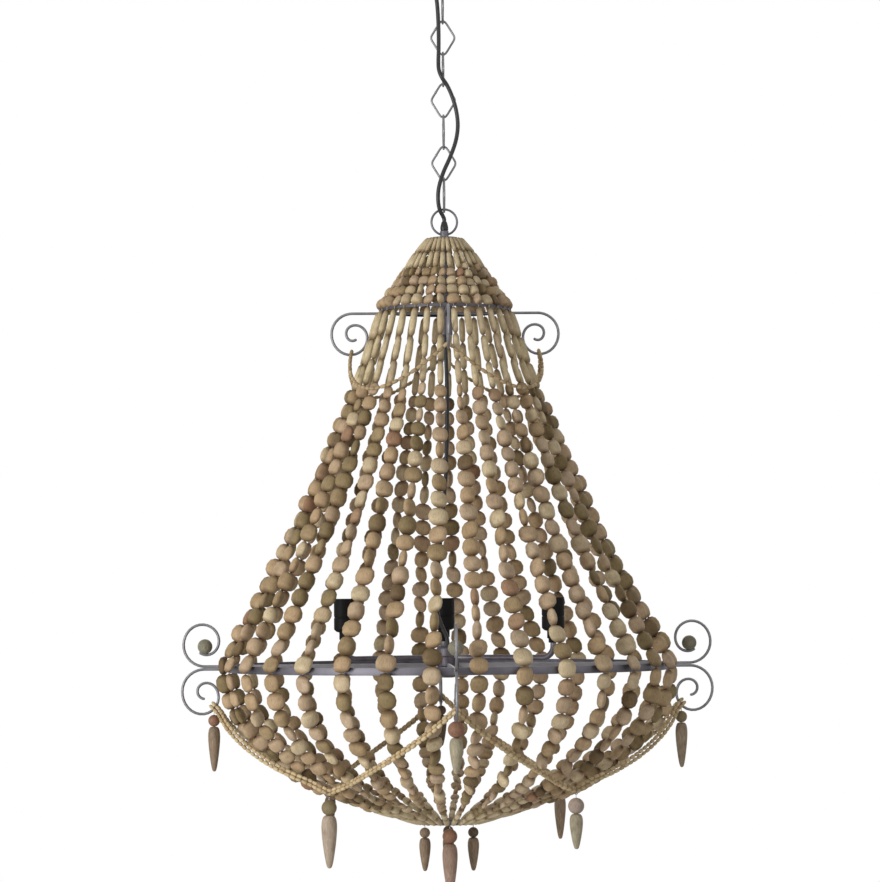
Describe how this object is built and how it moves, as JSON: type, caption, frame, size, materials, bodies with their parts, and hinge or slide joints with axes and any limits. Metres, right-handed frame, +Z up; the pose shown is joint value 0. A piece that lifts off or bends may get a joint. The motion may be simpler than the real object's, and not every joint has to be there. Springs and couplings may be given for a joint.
{
  "type": "beaded chandelier",
  "caption": "Chain-hung chandelier with a bell-shaped cage of wooden bead strands over three metal rings, scroll arms, bead swags, carved drops and candle sockets.",
  "frame": {"origin": "centre of the ceiling plate's top face, where the light is fixed to the ceiling", "axes": "+Z up out of the ceiling plate; the four pairs of scroll arms lie along X and Y, and the pictured front faces -Y"},
  "size_m": [0.6914, 0.6914, 1.2494],
  "materials": {
    "aged_zinc": "aged zinc grey, satin",
    "zinc_wire": "zinc grey wire, satin",
    "plated_steel": "zinc plated",
    "black_plastic": "moulded, matt",
    "cable_sheath": "smooth black sheath",
    "bead_wood": "unvarnished, weathered",
    "pale_wood": "unvarnished, pale",
    "carved_wood": "carved and stained"
  },
  "bodies": {
    "ceiling_fitting": {"ceiling_plate": "plated_steel", "ceiling_cup": "aged_zinc", "cup_cable_bush": "black_plastic", "ceiling_hook": "plated_steel", "cup_nut": "plated_steel", "supply_cable": "cable_sheath"},
    "link_1": {"chain_link_1": "zinc_wire"},
    "link_2": {"chain_link_2": "zinc_wire"},
    "link_3": {"chain_link_3": "zinc_wire"},
    "link_4": {"chain_link_4": "zinc_wire"},
    "link_5": {"chain_link_5": "zinc_wire"},
    "link_6": {"chain_link_6": "zinc_wire"},
    "link_7": {"chain_link_7": "zinc_wire"},
    "chandelier": {"hanging_ring": "aged_zinc", "stem_cable_gland": "black_plastic", "crown_ring": "aged_zinc", "centre_stem": "aged_zinc", "upper_hub": "aged_zinc", "upper_ring": "aged_zinc", "big_ring": "aged_zinc", "bottom_ring": "aged_zinc", "lamp_hub": "aged_zinc", "lamp_cable": "cable_sheath", "upper_swag_string": "pale_wood", "lower_swag_string_outer": "pale_wood", "lower_swag_string_inner": "pale_wood", "upper_scroll_arm_1": "zinc_wire", "lower_scroll_arm_1": "zinc_wire", "scroll_ball_1": "carved_wood", "bead_strands_1": "bead_wood", "upper_scroll_arm_2": "zinc_wire", "lower_scroll_arm_2": "zinc_wire", "scroll_ball_2": "carved_wood", "bead_strands_2": "bead_wood", "upper_scroll_arm_3": "zinc_wire", "lower_scroll_arm_3": "zinc_wire", "scroll_ball_3": "carved_wood", "bead_strands_3": "bead_wood", "upper_scroll_arm_4": "zinc_wire", "lower_scroll_arm_4": "zinc_wire", "scroll_ball_4": "carved_wood", "bead_strands_4": "bead_wood", "lamp_arm_1": "aged_zinc", "lamp_socket_1": "black_plastic", "lamp_arm_2": "aged_zinc", "lamp_socket_2": "black_plastic", "lamp_arm_3": "aged_zinc", "lamp_socket_3": "black_plastic"},
    "scroll_drop_1": {"scroll_drop_1": "carved_wood"},
    "swag_drop_1": {"swag_drop_1": "carved_wood"},
    "bottom_drop_1": {"bottom_drop_1": "carved_wood"},
    "scroll_drop_2": {"scroll_drop_2": "carved_wood"},
    "swag_drop_2": {"swag_drop_2": "carved_wood"},
    "bottom_drop_2": {"bottom_drop_2": "carved_wood"},
    "scroll_drop_3": {"scroll_drop_3": "carved_wood"},
    "swag_drop_3": {"swag_drop_3": "carved_wood"},
    "bottom_drop_3": {"bottom_drop_3": "carved_wood"},
    "scroll_drop_4": {"scroll_drop_4": "carved_wood"},
    "swag_drop_4": {"swag_drop_4": "carved_wood"},
    "bottom_drop_4": {"bottom_drop_4": "carved_wood"}
  },
  "joints": [
    {"name": "link_1_swing", "type": "hinge", "parent": "ceiling_fitting", "child": "link_1", "pos_m": [0, 0, -0.076], "axis": [1, 0, 0], "range_deg": [-20, 20], "deforming": ["supply_cable"]},
    {"name": "link_2_swing", "type": "hinge", "parent": "link_1", "child": "link_2", "pos_m": [0, 0, -0.1168], "axis": [0, 1, 0], "range_deg": [-20, 20], "deforming": ["supply_cable"]},
    {"name": "link_3_swing", "type": "hinge", "parent": "link_2", "child": "link_3", "pos_m": [0, 0, -0.1581], "axis": [1, 0, 0], "range_deg": [-20, 20], "deforming": ["supply_cable"]},
    {"name": "link_4_swing", "type": "hinge", "parent": "link_3", "child": "link_4", "pos_m": [0, 0, -0.1994], "axis": [0, 1, 0], "range_deg": [-20, 20], "deforming": ["supply_cable"]},
    {"name": "link_5_swing", "type": "hinge", "parent": "link_4", "child": "link_5", "pos_m": [0, 0, -0.2407], "axis": [1, 0, 0], "range_deg": [-20, 20], "deforming": ["supply_cable"]},
    {"name": "link_6_swing", "type": "hinge", "parent": "link_5", "child": "link_6", "pos_m": [0, 0, -0.282], "axis": [0, 1, 0], "range_deg": [-20, 20], "deforming": ["supply_cable"]},
    {"name": "link_7_swing", "type": "hinge", "parent": "link_6", "child": "link_7", "pos_m": [0, 0, -0.3233], "axis": [1, 0, 0], "range_deg": [-20, 20], "deforming": ["supply_cable"]},
    {"name": "ring_swing", "type": "hinge", "parent": "link_7", "child": "chandelier", "pos_m": [0, 0, -0.3646], "axis": [0, 1, 0], "range_deg": [-20, 20], "deforming": ["supply_cable"]},
    {"name": "scroll_drop_1_swing", "type": "hinge", "parent": "chandelier", "child": "scroll_drop_1", "pos_m": [0.30298, 0, -1.01272], "axis": [0, 1, 0], "range_deg": [-18, 18]},
    {"name": "swag_drop_1_swing", "type": "hinge", "parent": "chandelier", "child": "swag_drop_1", "pos_m": [0.15424, 0.15424, -1.11175], "axis": [-0.7071, 0.7071, 0], "range_deg": [-25, 25]},
    {"name": "bottom_drop_1_swing", "type": "hinge", "parent": "chandelier", "child": "bottom_drop_1", "pos_m": [0.03135, 0, -1.16025], "axis": [0, 1, 0], "range_deg": [-20, 15]},
    {"name": "scroll_drop_2_swing", "type": "hinge", "parent": "chandelier", "child": "scroll_drop_2", "pos_m": [0, 0.30298, -1.01272], "axis": [-1, 0, 0], "range_deg": [-18, 18]},
    {"name": "swag_drop_2_swing", "type": "hinge", "parent": "chandelier", "child": "swag_drop_2", "pos_m": [-0.15424, 0.15424, -1.11175], "axis": [-0.7071, -0.7071, 0], "range_deg": [-25, 25]},
    {"name": "bottom_drop_2_swing", "type": "hinge", "parent": "chandelier", "child": "bottom_drop_2", "pos_m": [0, 0.03135, -1.16025], "axis": [-1, 0, 0], "range_deg": [-20, 15]},
    {"name": "scroll_drop_3_swing", "type": "hinge", "parent": "chandelier", "child": "scroll_drop_3", "pos_m": [-0.30298, 0, -1.01272], "axis": [0, -1, 0], "range_deg": [-18, 18]},
    {"name": "swag_drop_3_swing", "type": "hinge", "parent": "chandelier", "child": "swag_drop_3", "pos_m": [-0.15424, -0.15424, -1.11175], "axis": [0.7071, -0.7071, 0], "range_deg": [-25, 25]},
    {"name": "bottom_drop_3_swing", "type": "hinge", "parent": "chandelier", "child": "bottom_drop_3", "pos_m": [-0.03135, 0, -1.16025], "axis": [0, -1, 0], "range_deg": [-20, 15]},
    {"name": "scroll_drop_4_swing", "type": "hinge", "parent": "chandelier", "child": "scroll_drop_4", "pos_m": [0, -0.30298, -1.01272], "axis": [1, 0, 0], "range_deg": [-18, 18]},
    {"name": "swag_drop_4_swing", "type": "hinge", "parent": "chandelier", "child": "swag_drop_4", "pos_m": [0.15424, -0.15424, -1.11175], "axis": [0.7071, 0.7071, 0], "range_deg": [-25, 25]},
    {"name": "bottom_drop_4_swing", "type": "hinge", "parent": "chandelier", "child": "bottom_drop_4", "pos_m": [0, -0.03135, -1.16025], "axis": [1, 0, 0], "range_deg": [-20, 15]}
  ]
}
